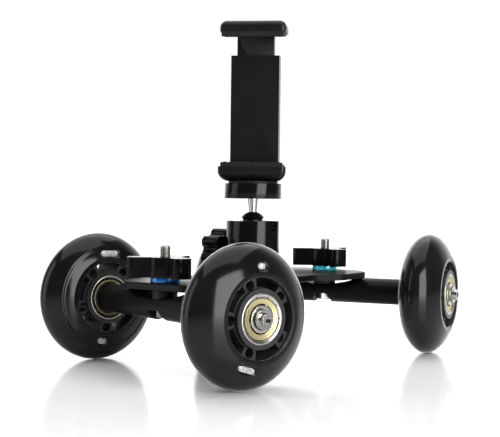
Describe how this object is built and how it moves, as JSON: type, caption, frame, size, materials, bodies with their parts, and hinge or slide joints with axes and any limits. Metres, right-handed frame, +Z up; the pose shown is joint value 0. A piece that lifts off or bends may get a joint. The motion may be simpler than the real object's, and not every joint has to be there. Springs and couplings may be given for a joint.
{
  "type": "camera slider",
  "caption": "Table-top camera dolly: skate wheels on swivelling axles under a waisted deck, with a ball head and a sprung phone clamp.",
  "frame": {"origin": "on the floor under the middle of the deck and the ball head", "axes": "+X along the deck towards the front axle, +Y to the left, away from the drop notch, +Z up"},
  "size_m": [0.2262, 0.1484, 0.1726],
  "materials": {
    "tyre": "smoky satin urethane",
    "core": "gloss black",
    "bearing_steel": "ground",
    "bearing_balls": "polished",
    "bearing_shield": "warm zinc",
    "axle_steel": "turned",
    "axle_screw": "polished",
    "deck": "satin black anodised",
    "spacer": "matt black",
    "washer": "gloss blue anodised",
    "beam": "satin black",
    "bolt": "zinc plated",
    "knob": "moulded black",
    "insert": "turned",
    "head": "gloss black",
    "seat": "natural nylon",
    "stem": "polished",
    "friction_rubber": "matt black",
    "clamp": "fine grain matt black",
    "jaw_rubber": "matt black",
    "spring": "bright wire"
  },
  "bodies": {
    "deck": {"deck_plate": "deck", "pivot_washers": "washer", "pivot_spacers": "spacer", "head_screw": "bolt", "head_housing": "head", "head_plug": "head"},
    "rear_axle": {"rear_beam": "beam", "rear_pivot_bolt": "bolt", "rear_left_bearing_inners": "bearing_steel", "rear_left_axle_sleeve": "axle_steel", "rear_left_axle_screw": "axle_screw", "rear_right_bearing_inners": "bearing_steel", "rear_right_axle_sleeve": "axle_steel", "rear_right_axle_screw": "axle_screw"},
    "rear_knob": {"rear_pivot_knob": "knob", "rear_pivot_knob_insert": "insert"},
    "front_axle": {"front_beam": "beam", "front_pivot_bolt": "bolt", "front_left_bearing_inners": "bearing_steel", "front_left_axle_sleeve": "axle_steel", "front_left_axle_screw": "axle_screw", "front_right_bearing_inners": "bearing_steel", "front_right_axle_sleeve": "axle_steel", "front_right_axle_screw": "axle_screw"},
    "front_knob": {"front_pivot_knob": "knob", "front_pivot_knob_insert": "insert"},
    "rear_left_wheel": {"rear_left_tyre": "tyre", "rear_left_core": "core", "rear_left_bearing_outers": "bearing_steel", "rear_left_bearing_balls": "bearing_balls", "rear_left_bearing_shields": "bearing_shield"},
    "rear_right_wheel": {"rear_right_tyre": "tyre", "rear_right_core": "core", "rear_right_bearing_outers": "bearing_steel", "rear_right_bearing_balls": "bearing_balls", "rear_right_bearing_shields": "bearing_shield"},
    "front_left_wheel": {"front_left_tyre": "tyre", "front_left_core": "core", "front_left_bearing_outers": "bearing_steel", "front_left_bearing_balls": "bearing_balls", "front_left_bearing_shields": "bearing_shield"},
    "front_right_wheel": {"front_right_tyre": "tyre", "front_right_core": "core", "front_right_bearing_outers": "bearing_steel", "front_right_bearing_balls": "bearing_balls", "front_right_bearing_shields": "bearing_shield"},
    "lock": {"lock_knob": "knob", "lock_screw": "bolt"},
    "seat": {"ball_seat": "seat"},
    "ball": {"head_ball": "head"},
    "head_top": {"stem": "stem", "platform": "head", "friction_disc": "friction_rubber", "camera_screw": "bolt", "clamp_base": "clamp", "clamp_cover": "clamp", "lower_pad": "jaw_rubber", "clamp_springs": "spring"},
    "jaw": {"clamp_slider": "clamp", "upper_pad": "jaw_rubber"}
  },
  "joints": [
    {"name": "rear_steer", "type": "hinge", "parent": "deck", "child": "rear_axle", "pos_m": [-0.0676, 0, 0.032], "axis": [0, 0, -1], "range_deg": [-43.8, 16.2]},
    {"name": "rear_knob_turn", "type": "hinge", "parent": "rear_axle", "child": "rear_knob", "pos_m": [-0.0676, 0, 0.05], "axis": [0, 0, 1], "range_deg": [-20, 340]},
    {"name": "rear_left_spin", "type": "hinge", "parent": "rear_axle", "child": "rear_left_wheel", "pos_m": [-0.05336, 0.05798, 0.032], "axis": [0.2385, 0.9711, 0], "continuous": true},
    {"name": "rear_right_spin", "type": "hinge", "parent": "rear_axle", "child": "rear_right_wheel", "pos_m": [-0.08184, -0.05798, 0.032], "axis": [0.2385, 0.9711, 0], "continuous": true},
    {"name": "front_steer", "type": "hinge", "parent": "deck", "child": "front_axle", "pos_m": [0.0676, 0, 0.032], "axis": [0, 0, 1], "range_deg": [-43.8, 16.2]},
    {"name": "front_knob_turn", "type": "hinge", "parent": "front_axle", "child": "front_knob", "pos_m": [0.0676, 0, 0.05], "axis": [0, 0, 1], "range_deg": [-20, 340]},
    {"name": "front_left_spin", "type": "hinge", "parent": "front_axle", "child": "front_left_wheel", "pos_m": [0.05336, 0.05798, 0.032], "axis": [-0.2385, 0.9711, 0], "continuous": true},
    {"name": "front_right_spin", "type": "hinge", "parent": "front_axle", "child": "front_right_wheel", "pos_m": [0.08184, -0.05798, 0.032], "axis": [-0.2385, 0.9711, 0], "continuous": true},
    {"name": "lock_turn", "type": "hinge", "parent": "deck", "child": "lock", "pos_m": [0, 0.02, 0.0548], "axis": [0, 1, 0], "range_deg": [-20, 340]},
    {"name": "side_tilt", "type": "hinge", "parent": "deck", "child": "seat", "pos_m": [0, 0, 0.0685], "axis": [0, 1, 0], "range_deg": [-25, 25]},
    {"name": "drop_tilt", "type": "hinge", "parent": "seat", "child": "ball", "pos_m": [0, 0, 0.0685], "axis": [1, 0, 0], "range_deg": [-30, 90]},
    {"name": "pan", "type": "hinge", "parent": "ball", "child": "head_top", "pos_m": [0, 0, 0.0685], "axis": [0, 0, 1], "continuous": true},
    {"name": "jaw_slide", "type": "slide", "parent": "head_top", "child": "jaw", "axis": [0, 0, 1], "range_m": [0, 0.02], "stiffness_N_per_m": 300, "springref_m": -0.02, "deforming": ["clamp_springs"]}
  ]
}
